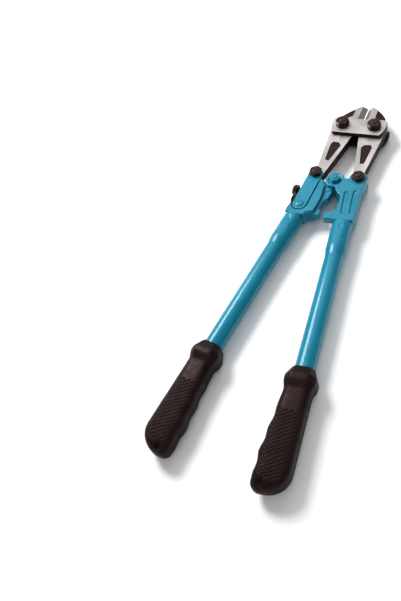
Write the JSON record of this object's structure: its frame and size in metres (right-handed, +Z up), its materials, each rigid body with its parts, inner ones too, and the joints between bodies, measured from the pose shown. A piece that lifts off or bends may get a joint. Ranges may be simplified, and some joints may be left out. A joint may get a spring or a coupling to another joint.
{
  "type": "bolt cutters",
  "caption": "Compound-lever bolt cutters with bevelled centre-cut jaws, blue cast and tubular handles, adjusting straps and ribbed rubber grips.",
  "frame": {"origin": "on the surface the tool lies on, under the middle of its length and width", "axes": "+Y along the tool towards the jaw tips, +X towards the right handle, +Z up through the front side plate"},
  "size_m": [0.1806, 0.6125, 0.0428],
  "materials": {
    "blue_paint": "glossy thick paint over rough castings",
    "brushed_steel": "brushed flat faces, black forged edges and pockets",
    "black_steel": "black forged scale, satin",
    "black_fasteners": "black oxide, oiled",
    "grip_rubber": "matt moulded rubber"
  },
  "bodies": {
    "side_plates": {"front_side_plate": "brushed_steel", "rear_side_plate": "black_steel", "right_jaw_bolt": "black_fasteners", "left_jaw_bolt": "black_fasteners", "right_jaw_nut": "black_fasteners", "left_jaw_nut": "black_fasteners", "right_jaw_washer": "black_fasteners", "left_jaw_washer": "black_fasteners"},
    "right_jaw": {"right_jaw": "brushed_steel"},
    "left_jaw": {"left_jaw": "brushed_steel"},
    "right_handle": {"right_handle_casting": "blue_paint", "right_handle_tube": "blue_paint", "right_grip": "grip_rubber", "right_tail_bolt": "black_fasteners", "right_tail_nut": "black_fasteners", "centre_pivot_bolt": "black_fasteners", "centre_pivot_nut": "blue_paint"},
    "left_handle": {"left_handle_casting": "blue_paint", "left_handle_tube": "blue_paint", "left_grip": "grip_rubber", "front_adjusting_strap": "blue_paint", "rear_adjusting_strap": "blue_paint", "strap_rivet": "blue_paint", "left_tail_bolt": "black_fasteners", "left_tail_nut": "black_fasteners"},
    "upper_screw": {"upper_adjusting_screw": "black_fasteners"},
    "lower_screw": {"lower_adjusting_screw": "black_fasteners"}
  },
  "joints": [
    {"name": "right_jaw_pivot", "type": "hinge", "parent": "side_plates", "child": "right_jaw", "pos_m": [0.0237, 0.25421, 0.0195], "axis": [0, 0, 1], "range_deg": [-6.4, 0.6]},
    {"name": "left_jaw_pivot", "type": "hinge", "parent": "side_plates", "child": "left_jaw", "pos_m": [-0.0237, 0.25421, 0.0195], "axis": [0, 0, 1], "range_deg": [-0.6, 6.4]},
    {"name": "right_handle_pivot", "type": "hinge", "parent": "right_jaw", "child": "right_handle", "pos_m": [0.03099, 0.15151, 0.0195], "axis": [0, 0, 1], "range_deg": [-3.4, 46.31]},
    {"name": "left_handle_pivot", "type": "hinge", "parent": "left_jaw", "child": "left_handle", "pos_m": [-0.03099, 0.15151, 0.0195], "axis": [0, 0, 1], "range_deg": [-46.41, 3.5]},
    {"name": "upper_screw_slide", "type": "slide", "parent": "left_handle", "child": "upper_screw", "axis": [-0.9936, 0.1132, 0], "range_m": [-0.0055, 0.002]},
    {"name": "lower_screw_slide", "type": "slide", "parent": "left_handle", "child": "lower_screw", "axis": [-0.9936, 0.1132, 0], "range_m": [0, 0.006]}
  ],
  "couplings": [
    {"joint": "right_jaw_pivot", "follows": "right_handle_pivot", "ratio": -0.13622},
    {"joint": "left_jaw_pivot", "follows": "right_handle_pivot", "ratio": 0.13622},
    {"joint": "left_handle_pivot", "follows": "right_handle_pivot", "ratio": -1}
  ]
}
